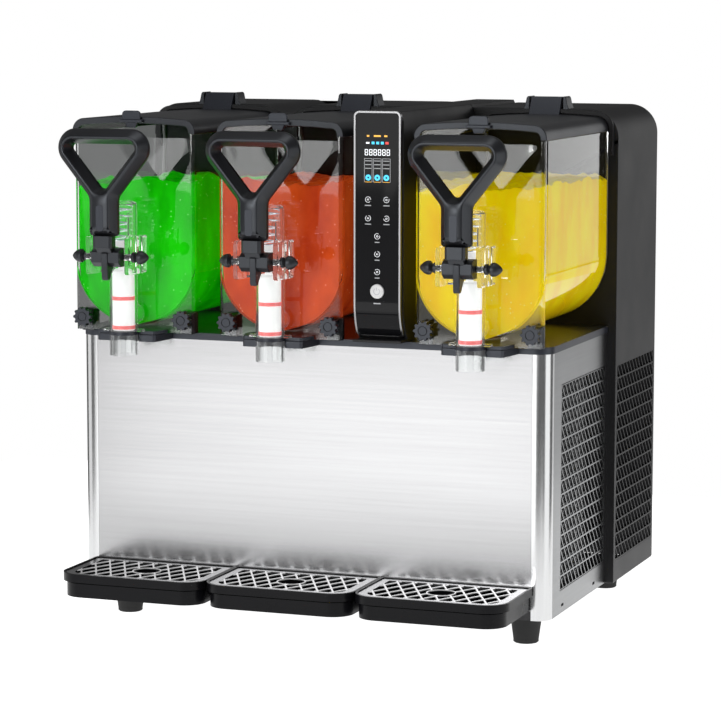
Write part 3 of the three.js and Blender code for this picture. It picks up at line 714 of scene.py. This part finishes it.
SEAL_HEIGHTS = (388.2, 425)
PISTON_PROFILE = [
    (0, 384), (13, 384), (14, 385), (14, 385.5), (13.2, 385.8), (13.2, 390.6), (14, 391),
    (14, 422.2), (13.2, 422.6), (13.2, 427.4), (14, 427.8), (14, 459.5), (12, 461.5), (6, 461.5),
    (6, 490.5), (13, 490.5), (13, 497.5), (0, 497.5),
]


def valve_seals():
    section = [(13, -2.3), (14.4, -2.2), (14.6, 0), (14.4, 2.2), (13, 2.3)]
    return joined(*[turned("z", moved(section, 0, mid), 0, TAP_Y, closed=True) for mid in SEAL_HEIGHTS])


for side, x in STATION.items():
    bowl, hand, valve = f"bowl_{side}", f"handle_{side}", f"valve_{side}"
    pivot = (x, PIN_Y, PIN_Z)
    place(f"pivot_pin_{side}", shifted(pivot_pin(), x), BLACK, bowl, [f"tap_pin_{side}"])
    loop = shifted(tap_handle(), *pivot)
    place(f"handle_loop_{side}", loop, HANDLE_BLACK, hand, [f"tap_handle_{side}"], sharp=50)
    # A thin panel of the bluish black on the stem's front: it carries the painted blue sheen there.
    panel = shifted(prism("y", -32.4, -31, rounded(-5, 5, 34, 66, 3, 3)), *pivot)
    place(f"handle_panel_{side}", panel, BLUE_SHEEN_BLACK, hand, bevel=0.3)
    for part, shape in (("neck", handle_neck), ("fork", handle_fork)):
        place(f"handle_{part}_{side}", shifted(shape(), *pivot), HANDLE_BLACK, hand, bevel=1)
    piston = shifted(turned("z", PISTON_PROFILE, 0, TAP_Y), x)
    place(f"piston_{side}", piston, WHITE, valve, [f"valve_piston_{side}"], sharp=30)
    place(f"piston_seals_{side}", shifted(valve_seals(), x), SALMON, valve)
    coil = shifted(valve_spring(), x)
    spring = place(f"spring_{side}", coil, SPRING_STEEL, bowl, [f"valve_spring_{side}"])
    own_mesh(spring)


# ---- clamp knobs ----
def star_knob():
    """A thick disc with ten round teeth."""
    outline = []
    for i in range(120):
        angle = 2 * math.pi * i / 120
        reach = 11.4 + 1.15 * math.tanh(2.5 * math.cos(10 * angle))
        outline.append((reach * math.cos(angle), reach * math.sin(angle)))
    return prism("y", -33, -24, outline)


KNOB_X, KNOB_Z = 68.5, 396
KNOBS = [
    (f"{side}_{letter}", x + offset)
    for side, x in STATION.items()
    for letter, offset in (("a", -KNOB_X), ("b", KNOB_X))
]
RING_PROFILE = [(5.2, -33.6), (5.6, -33.9), (6.0, -33.6), (6.0, -32), (5.2, -32)]
COLLAR_PROFILE = [(0, -26), (9.5, -26), (9.5, -22), (8, -19.4), (0, -19.4)]

for which, at in KNOBS:
    body = f"knob_{which}"
    knob = shifted(star_knob(), at, 0, KNOB_Z)
    place(f"knob_star_{which}", knob, BLUE_SHEEN_BLACK, body, [f"clamp_knob_{which}"], 0.8)
    ring = turned("y", RING_PROFILE, at, KNOB_Z, closed=True)
    place(f"knob_ring_{which}", ring, BLACK, body)
    collar = turned("y", COLLAR_PROFILE, at, KNOB_Z)
    stud = rod("y", 3, -20, 2, at, KNOB_Z)
    place(f"knob_collar_{which}", joined(collar, stud), BLACK, body)


# ---- deck ----
def deck():
    """The shelf under the bowls, with a bracket round each spout."""
    parts = [prism("z", DECK_LOW, DECK_TOP, rounded(-316, 316, -3, BODY_BACK, 22, 1))]
    cuts = []
    for x in STATION.values():
        parts.append(prism("z", DECK_LOW, DECK_TOP, bracket_outline(x, 0)))
        cuts.append(rod("z", TAP_RADIUS + 1, 363, DECK_TOP + 1, x, TAP_Y))
    return combined("DIFFERENCE", combined("UNION", *parts), *cuts)


place("deck_top", deck(), BLUE_SHEEN_BLACK, "root", ["deck"], 1.2)
for which, at in KNOBS:
    post = prism("x", at - 8, at + 8, rounded(-15, 6, DECK_TOP - 1, 405, 1, 6))
    place(f"clamp_post_{which}", post, BLACK, "root", bevel=1)


# ---- rear cover and side panels ----
COVER_HALF, COVER_FRONT, COVER_BACK, COVER_LOW, COVER_TOP = 327, 260, 461.7, 38, 659
COVER_CORNER, COVER_WALL, COVER_WINDOW = 38, 3, (269, 453)
CABINET_HALF, CABINET_LOW, CABINET_TOP = 315, 38, 369
CABINET_CORNER, CABINET_SHEET, CABINET_WINDOW = 18, 2, (52, 251)
VENT_Z, VENT_ROWS, VENT_PITCH, VENT_STEP, VENT_BAR = 68, 15, 17.2, 14.6, 2.6
VENT_TOP = VENT_Z + VENT_ROWS * VENT_PITCH
BAR_SETBACK = 0.15  # keeps the diagonal bars' faces off the plane of the rails'


def smoothstep(value, low, high):
    t = max(0.0, min(1.0, (value - low) / (high - low)))
    return t * t * (3 - 2 * t)


def cover_top(x):
    """The cover's height at x: full behind each bowl and lower between them."""
    nearest = min(abs(x - station) for station in STATION.values())
    return COVER_TOP - 13 * smoothstep(nearest, 62, 100)


def cover_outline(margin, bottom):
    half, corner, corner_z = COVER_HALF - margin, COVER_CORNER - margin, COVER_TOP - COVER_CORNER
    tops = [(x, cover_top(x) - margin) for x in range(70, -264, -6)]
    return [
        (-half, bottom), (half, bottom), *arc(half - corner, corner_z, corner, 0, 90, 16),
        (130, COVER_TOP - margin), *tops, *arc(corner - half, corner_z, corner, 90, 180, 16),
    ]


def side_of(a, b, p):
    """Above zero where p is to the left of the line from a to b, below zero to its right."""
    return (b[0] - a[0]) * (p[1] - a[1]) - (b[1] - a[1]) * (p[0] - a[0])


def clip(polygon, outline):
    """The part of a polygon inside a convex outline that runs anticlockwise."""
    for a, b in zip(outline, outline[1:] + outline[:1]):
        kept = []
        for p, q in zip(polygon, polygon[1:] + polygon[:1]):
            sp, sq = side_of(a, b, p), side_of(a, b, q)
            if sp >= 0:
                kept.append(p)
            if sp * sq < 0:
                t = sp / (sp - sq)
                kept.append((p[0] + (q[0] - p[0]) * t, p[1] + (q[1] - p[1]) * t))
        polygon = kept
        if len(polygon) < 3:
            return []
    return polygon


def vent_lattice(x0, x1, y0, y1, rail=2.0, lean=1):
    """Level rails crossed by diagonal bars that drop one slot for each slot they run back."""
    window = rectangle(y0, y1, VENT_Z, VENT_TOP)
    heights = [VENT_Z + row * VENT_PITCH for row in range(VENT_ROWS + 1)]
    parts = [prism("x", x0, x1, rectangle(y0 - 1, y1 + 1, z - rail / 2, z + rail / 2)) for z in heights]
    bar_x = (x0, x1 - BAR_SETBACK) if x1 > 0 else (x0 + BAR_SETBACK, x1)
    run = (VENT_TOP - VENT_Z) * VENT_STEP / VENT_PITCH
    count = int((y1 - y0 + run) / VENT_STEP) + 2
    for k in range(count):
        top = y0 - run + k * VENT_STEP
        foot = top + run
        band = [(foot, VENT_Z), (foot + VENT_BAR, VENT_Z), (top + VENT_BAR, VENT_TOP), (top, VENT_TOP)]
        if lean < 0:
            band = [(y0 + y1 - y, z) for y, z in reversed(band)]
        kept = clip(band, window)
        if kept:
            parts.append(prism("x", *bar_x, kept))
    return joined(*parts)


def rear_cover():
    """A shell open at the back and behind the cabinet, with a vent low on each side."""
    shell = combined(
        "DIFFERENCE",
        prism("y", COVER_FRONT, COVER_BACK, cover_outline(0, COVER_LOW)),
        prism("y", COVER_FRONT + COVER_WALL, 463, cover_outline(COVER_WALL, COVER_LOW - 1)),
    )
    before, behind = COVER_FRONT - 1, COVER_FRONT + COVER_WALL + 1
    edges = (-COVER_HALF, COVER_HALF)
    windows = [box(x - 8, x + 8, *COVER_WINDOW, VENT_Z, VENT_TOP) for x in edges]
    bores = [rod("y", 46, before, behind, x, BOWL_AXIS) for x in STATION.values()]
    opening = box(-312.5, 312.5, before, behind, 37, 365.3)
    return combined("DIFFERENCE", shell, *windows, *bores, opening)


def side_panel(side):
    """A sheet that wraps round the front corner, with a vent and two slots near its foot."""
    half, corner, start = CABINET_HALF, CABINET_CORNER, 292.8
    outer = [(start, 0), *arc(half - corner, corner, corner, -90, 0, 10), (half, BODY_BACK)]
    inner = [
        (half - CABINET_SHEET, BODY_BACK),
        *arc(half - corner, corner, corner - CABINET_SHEET, 0, -90, 10),
        (start, CABINET_SHEET),
    ]
    sheet = prism("z", CABINET_LOW, CABINET_TOP, [(side * x, y) for x, y in outer + inner])
    cut_x = (side * half - 8, side * half + 8)
    window = box(*cut_x, *CABINET_WINDOW, VENT_Z, VENT_TOP)
    slots = [box(*cut_x, y - 5, y + 5, 46, 49.5) for y in (63, 207)]
    return combined("DIFFERENCE", sheet, window, *slots)


place("cover_shell", rear_cover(), COVER_BLACK, "root", ["rear_cover"], 2.2, 3, 50)
for name, side in FLANKS:
    x0, x1 = sorted((side * (COVER_HALF - 2.6), side * COVER_HALF))
    grid = vent_lattice(x0, x1, *COVER_WINDOW)
    place(f"cover_vents_{name}", grid, COVER_BLACK, "root")

for name, side in FLANKS:
    panel = side_panel(side)
    sheet = place(f"side_sheet_{name}", panel, STEEL_SIDE_SHADED, "root", [f"side_panel_{name}"])
    # The faces of the bend round the front corner take the much lighter steel: a painted highlight on the
    # corner.
    sheet.data.materials.append(STEEL_CORNER_LIT)
    for face in sheet.data.polygons:
        face.material_index = int(face.center.y < FRONT + (CABINET_CORNER - 0.1) * MM)
    x0, x1 = sorted((side * (CABINET_HALF - CABINET_SHEET), side * CABINET_HALF))
    grid = vent_lattice(x0, x1, *CABINET_WINDOW)
    place(f"side_vents_{name}", grid, STEEL_SIDE_SHADED, "root")
    x0, x1 = sorted((side * 308, side * 309.2))
    guard = vent_lattice(x0, x1, 53, 180, rail=0.6, lean=-1)
    place(f"side_guard_{name}", guard, STEEL_SIDE_SHADED, "root")


# ---- drip trays ----
GRILLE_LOW, GRILLE_HIGH, GRILLE_MID, GRILLE_HOLE = 75.3, 78.8, -62.1, 17
BAR_SLANT, BAR_PITCH, BAR_HALF, BAR_REACH = 0.485, 20.4, 1.05, 200
BAR_SINK = {-1: 0.06, 1: 0.12}  # how far the bars of each lean lie below the ring's top


def plate(z0, z1, half, front, back, front_radius, back_radius):
    return prism("z", z0, z1, rounded(-half, half, front, back, front_radius, back_radius, 12))


def tray_body():
    """A shallow basin with a ledge for its grille and a groove under its lip."""
    upper = plate(69.5, 80, 98.2, -124, -0.4, 30, 4)
    groove = plate(67, 70, 90.6, -116.4, -0.4, 24, 3)
    lower = plate(50, 67.6, 94.2, -120, -0.4, 27, 3)
    ledge = plate(75, 81, 95.6, -121.2, -3, 28, 3)
    basin = plate(53, 80, 88.2, -114, -8.4, 22, 4)
    return combined("DIFFERENCE", combined("UNION", upper, groove, lower), ledge, basin)


def grille_rim():
    inside = rounded(-84, 84, -109.6, -14.6, 17, 3, 12)
    return prism("z", GRILLE_LOW, GRILLE_HIGH, rounded(-95, 95, -120.6, -3.6, 27, 3, 12), [inside])


def grille_lattice():
    """Thin crossing bars that stop at a plain ring round the middle hole."""
    low = GRILLE_HIGH - 1.3
    middle = Vector((0, GRILLE_MID))
    ring, hole = [circle(0, GRILLE_MID, radius) for radius in (GRILLE_HOLE + 1.4, GRILLE_HOLE)]
    parts = [prism("z", low, GRILLE_HIGH, ring, [hole])]
    inside = rounded(-85, 85, -110.6, -13.6, 18, 4, 8)
    for lean, sink in BAR_SINK.items():
        along = Vector((lean * BAR_SLANT, 1)).normalized()
        across = Vector((along.y, -along.x))
        for k in range(-6, 7):
            foot = Vector(((k + 0.5) * BAR_PITCH, GRILLE_MID))
            nearest = foot - along * (foot.dot(along) - middle.dot(along))
            miss = abs((nearest - middle).dot(across))
            chord = math.sqrt(max(0.0, (GRILLE_HOLE + 0.7) ** 2 - miss**2))
            spans = [(-BAR_REACH, -chord), (chord, BAR_REACH)] if chord else [(-BAR_REACH, BAR_REACH)]
            for start, end in spans:
                corners = rectangle(start, end, -BAR_HALF, BAR_HALF)
                kept = clip([tuple(nearest + along * a + across * b) for a, b in corners], inside)
                if kept:
                    parts.append(prism("z", low, GRILLE_HIGH - sink, kept))
    return joined(*parts)


for side, x in TRAY_X.items():
    tray, rim, lattice = [shifted(shape(), x) for shape in (tray_body, grille_rim, grille_lattice)]
    body, grille = f"tray_{side}", f"grille_{side}"
    place(f"tray_{side}", tray, TRAY_BLACK, body, [f"drip_tray_{side}"], 1.6, 4, 30)
    place(f"grille_rim_{side}", rim, POLISHED, grille, [f"drip_grille_{side}"], 0.5, 2)
    place(f"grille_lattice_{side}", lattice, BRIGHT_WIRE, grille)


# ---- console ----
CONSOLE_FRONT, CONSOLE_FOOT, CONSOLE_TOP, CONSOLE_HALF = -27, 383.6, 663.5, 30.6
SWEEP_HEIGHT, SWEEP_RADIUS = 45, 30
HOUSING_HALF, HOUSING_TOP = 32, 663
MARK_PROUD, MARK_ROOT = 0.35, 0.2
BUTTON_Z = 442


def sweep_back(z):
    """How far the console's front runs back at a height near its foot."""
    drop = max(0.0, 1 - (z - CONSOLE_FOOT) / SWEEP_HEIGHT)
    return SWEEP_RADIUS * (1 - math.sqrt(1 - 0.75 * drop * drop))


def console_sheet(behind, thick):
    """A sheet that follows the console's front, some way behind it."""
    swept = [CONSOLE_FOOT + SWEEP_HEIGHT * (1 - i / 12) for i in range(13)]
    heights = [CONSOLE_TOP + 1, *swept, CONSOLE_FOOT - 2]
    edge = [(CONSOLE_FRONT + behind + sweep_back(z), z) for z in heights]
    return prism("x", CONSOLE_X - 40, CONSOLE_X + 40, edge + [(y + thick, z) for y, z in reversed(edge)])


def console_face(margin, corner):
    """A block with the console's outline from the front, for cutting sheets to shape."""
    half = CONSOLE_HALF - margin
    outline = rounded(-half, half, CONSOLE_FOOT + margin, CONSOLE_TOP - margin, corner, corner, 8)
    return prism("y", CONSOLE_FRONT - 10, 30, moved(outline, CONSOLE_X))


def housing_outline(margin, base):
    """The housing's section across the machine, with its top edges cut off."""
    half, flat, top = HOUSING_HALF - margin, HOUSING_HALF - 5 - margin, HOUSING_TOP - margin
    outline = [(-half, base), (half, base), (half, 651.5), (flat, top), (-flat, top), (-half, 651.5)]
    return moved(outline, CONSOLE_X)


bezel = combined("INTERSECT", console_sheet(0, 6.5), console_face(0, 7))
bezel = combined("DIFFERENCE", bezel, console_face(2.5, 5))
place("console_frame", bezel, SATIN_TRIM, "root", ["console_bezel"], 0.7)
pane = combined("INTERSECT", console_sheet(1, 4), console_face(2.8, 4.7))
pane = combined("DIFFERENCE", pane, rod("y", 9.4, -40, 0, CONSOLE_X, BUTTON_Z))
place("console_pane", pane, GLASS_BLACK, "root", ["console_glass"])
housing = combined(
    "DIFFERENCE",
    prism("y", CONSOLE_FRONT, BODY_BACK, housing_outline(0, DECK_TOP + 0.3)),
    prism("y", 12, 261, housing_outline(3, DECK_TOP - 1)),
    console_sheet(-30, 36.8),
)
place("console_case", housing, COVER_BLACK, "root", ["console_housing"], 1)
ridge = prism("y", 260.3, 450, housing_outline(0, 655))
place("cover_ridge", ridge, COVER_BLACK, "root", bevel=1.5)


def on_glass(x, z, outline, *holes):
    """A flat mark that stands just proud of the console's glass, drawn about (x, z)."""
    y = CONSOLE_FRONT + 1 + sweep_back(z)
    loops = [moved(loop, CONSOLE_X + x, z) for loop in (outline, *holes)]
    return prism("y", y - MARK_PROUD, y + MARK_ROOT, loops[0], loops[1:])


def ring_mark(x, z, radius, line):
    return on_glass(x, z, circle(0, 0, radius, 28), circle(0, 0, radius - line, 28))


def bar_mark(x, z, width, height):
    return on_glass(x, z, rectangle(-width / 2, width / 2, -height / 2, height / 2))


def digit(x, z):
    """A seven-segment figure eight."""
    wide, tall, line = 4.2, 7.6, 0.8
    bars = [bar_mark(x, z + row * (tall - line) / 2, wide - 1.1, line) for row in (-1, 0, 1)]
    posts = [(x + side * (wide - line) / 2, z + row * tall / 4) for side in (-1, 1) for row in (-1, 1)]
    return bars + [bar_mark(u, v, line, tall / 2 - 0.8) for u, v in posts]


def blank_icon(x, z, kind):
    """A broken ring, turned by its kind, with a small ring or two bars inside."""
    gap = 60 * kind
    parts = [on_glass(x, z, [*arc(0, 0, 3.6, gap, gap + 320, 24), *arc(0, 0, 3.25, gap + 320, gap, 24)])]
    if kind % 2:
        parts += [ring_mark(x, z, 1.2, 0.4)]
    else:
        parts += [bar_mark(x + step, z, 0.5, 2.2) for step in (-0.9, 0.9)]
    return parts


marks = {name: [] for name in LAMPS}
marks["amber"] += [bar_mark(x, 633, width, 2) for x, width in ((-12, 3), (0, 9), (11, 4))]
marks["white"] += [bar_mark(-12.5, 624.5, 4.4, 2)]
marks["cyan"] += [bar_mark(x, 624.5, 3.6, 3.2) for x in (-5.5, 0.5, 6.5)]
marks["red"] += [bar_mark(12.6, 624.5, 4, 3)]
for i in range(6):
    marks["white"] += digit(-14.2 + i * 5.7, 613)
for x in (-11.8, 0, 11.8):
    marks["grey"] += [bar_mark(x, 602.5 - row * 4.6, 8.2, 0.9) for row in range(3)]
    marks["grey"] += [bar_mark(x + step, 591, 0.5, 29) for step in (-5, 5)]
    marks["grey"] += [bar_mark(x, 605.3, 10.4, 0.5)]
    marks["cyan"] += [ring_mark(x, 582, 3.7, 2.5)]
    marks["amber"] += [bar_mark(x, 576.6, 9, 0.5)]
for row, z in enumerate((555, 532)):
    for column, x in enumerate((-12, 12)):
        marks["white"] += blank_icon(x, z, row * 2 + column)
        marks["grey"] += [bar_mark(x, z - 7.2, 8, 1.1)]
for row, z in enumerate((510, 488, 466)):
    marks["white"] += blank_icon(0, z, row + 1)
    marks["grey"] += [bar_mark(0, z - 7.4, 6, 1.1)]
marks["grey"] += [bar_mark(0, 427, 9, 1.3)]
for name, parts in marks.items():
    place(f"console_marks_{name}", joined(*parts), LAMPS[name], "root")

cap_profile = [(0, -27.6), (7.6, -27.6), (8.7, -27.0), (9, -26), (9, -22.2), (0, -22.2)]
cap = turned("y", cap_profile, CONSOLE_X, BUTTON_Z)
place("button_cap", cap, BUTTON_WHITE, "power_button", ["power_button"])
broken_ring = [*arc(0, 0, 4.4, 125, 415, 30), *arc(0, 0, 3.5, 415, 125, 30)]
signs = [moved(sign, CONSOLE_X, BUTTON_Z) for sign in (broken_ring, rectangle(-0.45, 0.45, 1, 5))]
symbol = joined(*[prism("y", -27.95, -27.4, sign) for sign in signs])
place("button_symbol", symbol, LAMPS["grey"], "power_button")


# ---- feet ----
FOOT_PROFILE = [(0, 0), (14.5, 0), (16, 1.2), (16, 4), (20, 33.7), (20, 37.7), (0, 37.7)]

for name in ("front_left", "front_right", "back_left", "back_right"):
    foot = turned("z", FOOT_PROFILE, *centre(f"foot_{name}"))
    place(f"foot_pad_{name}", foot, RUBBER, "root", [f"foot_{name}"])


# ---- CAD nodes that show as they are ----
CARRIED = {
    "front_panel": STEEL_FRONT, "back_panel": PAINTED, "base_pan": PAINTED, "compressor": PAINTED,
    "condenser": FINS, "condenser_fan": RUBBER,
}
for side in SIDES:
    CARRIED[f"bowl_gasket_{side}"] = GREY_SEAL
    CARRIED[f"evaporator_{side}"] = DRUM_STEEL
    CARRIED[f"auger_{side}"] = WHITE
    CARRIED[f"gear_motor_{side}"] = GREY_METAL
for name, material in CARRIED.items():
    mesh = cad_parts[name].data
    mesh.materials.clear()
    mesh.materials.append(material)


# ---- camera, stage and light ----
CAMERA_PLACE, CAMERA_LENS = (1.3110, -3.5487, 0.7974), 145.26
CAMERA_TURN, CAMERA_DOWN, CAMERA_ROLL = 20.181, 7.052, 0.07
ROOM_LIGHT = 0.14
FLOOR_REACH = 1.0


def add_camera():
    data = bpy.data.cameras.new("camera")
    data.sensor_width = 36.0
    data.lens = CAMERA_LENS
    data.clip_end = 50.0
    camera = add_object("camera", data)
    matrix = Matrix.Translation(CAMERA_PLACE)
    for degrees, axis in ((CAMERA_TURN, "Z"), (90.0 - CAMERA_DOWN, "X"), (CAMERA_ROLL, "Z")):
        matrix = matrix @ Matrix.Rotation(math.radians(degrees), 4, axis)
    camera.matrix_world = matrix
    bpy.context.scene.camera = camera


def add_world():
    """White behind the machine; for its lighting, a dim even room."""
    world = bpy.data.worlds.new("studio")
    bpy.context.scene.world = world
    world.use_nodes = True
    tree = world.node_tree
    room = tree.nodes["Background"]
    room.inputs["Strength"].default_value = ROOM_LIGHT
    seen = tree.nodes.new("ShaderNodeBackground")
    for background in (room, seen):
        background.inputs["Color"].default_value = (1, 1, 1, 1)
    path = tree.nodes.new("ShaderNodeLightPath")
    choose = tree.nodes.new("ShaderNodeMixShader")
    tree.links.new(path.outputs["Is Camera Ray"], choose.inputs["Fac"])
    tree.links.new(room.outputs["Background"], choose.inputs[1])
    tree.links.new(seen.outputs["Background"], choose.inputs[2])
    tree.links.new(choose.outputs["Shader"], tree.nodes["World Output"].inputs["Surface"])


def add_floor():
    mesh = bpy.data.meshes.new("floor")
    corners = rectangle(-FLOOR_REACH, FLOOR_REACH, -FLOOR_REACH, FLOOR_REACH)
    mesh.from_pydata([(x, y, 0) for x, y in corners], [], [(0, 1, 2, 3)])
    floor = add_object("floor", mesh)
    floor.data.materials.append(surface("floor_white", (0.9, 0.9, 0.9), 0.9, Emission_Strength=1.05))


def add_panel(name, middle, aim, width, height, radiance):
    """A soft light panel. Its radiance is the brightness its surface has in a reflection."""
    data = bpy.data.lights.new(name, "AREA")
    data.shape = "RECTANGLE"
    data.size = width
    data.size_y = height
    data.energy = radiance * width * height * math.pi
    light = add_object(name, data)
    light.location = middle
    light.rotation_euler = (Vector(aim) - Vector(middle)).to_track_quat("-Z", "Y").to_euler()


PANELS = (
    ("far_wall", (-1.2, -3.3, 0.7), (-1.2, 0, 0.7), 1.7, 3.0, 0.7),
    ("high_wall", (-1.04, -3.2, 1.18), (-1.04, 0, 1.18), 1.04, 1.66, 2.4),
    ("low_wall", (-1.0, -3.2, -0.48), (-1.0, 0, -0.48), 1.66, 1.0, 2.15),
    ("front_box", (-0.2, -2.9, 0.92), (-0.2, 0, 0.92), 0.66, 0.9, 9),
    ("back_high", (1.1, 2.05, 0.87), (0.3, 0, 0.87), 1.0, 0.86, 1.0),
    ("back_low", (1.1, 2.05, 0.33), (0.3, 0, 0.33), 1.0, 0.22, 0.5),
    ("back_foot", (1.5, 2.6, -0.45), (0.3, 0, -0.2), 2.2, 1.1, 0.8),
    ("right_box", (3.0, -0.5, 0.2), (0.3, -0.1, 0.2), 2.2, 2.6, 1.4),
    ("left_box", (-3.2, -0.8, 0.3), (-0.3, -0.1, 0.3), 2.2, 2.2, 1.0),
    ("top_box", (0.2, -0.4, 2.6), (0, 0, 0.5), 1.8, 1.4, 1.8),
)
add_camera()
add_world()
add_floor()
for panel in PANELS:
    add_panel(*panel)
bpy.context.scene.view_settings.view_transform = "Standard"
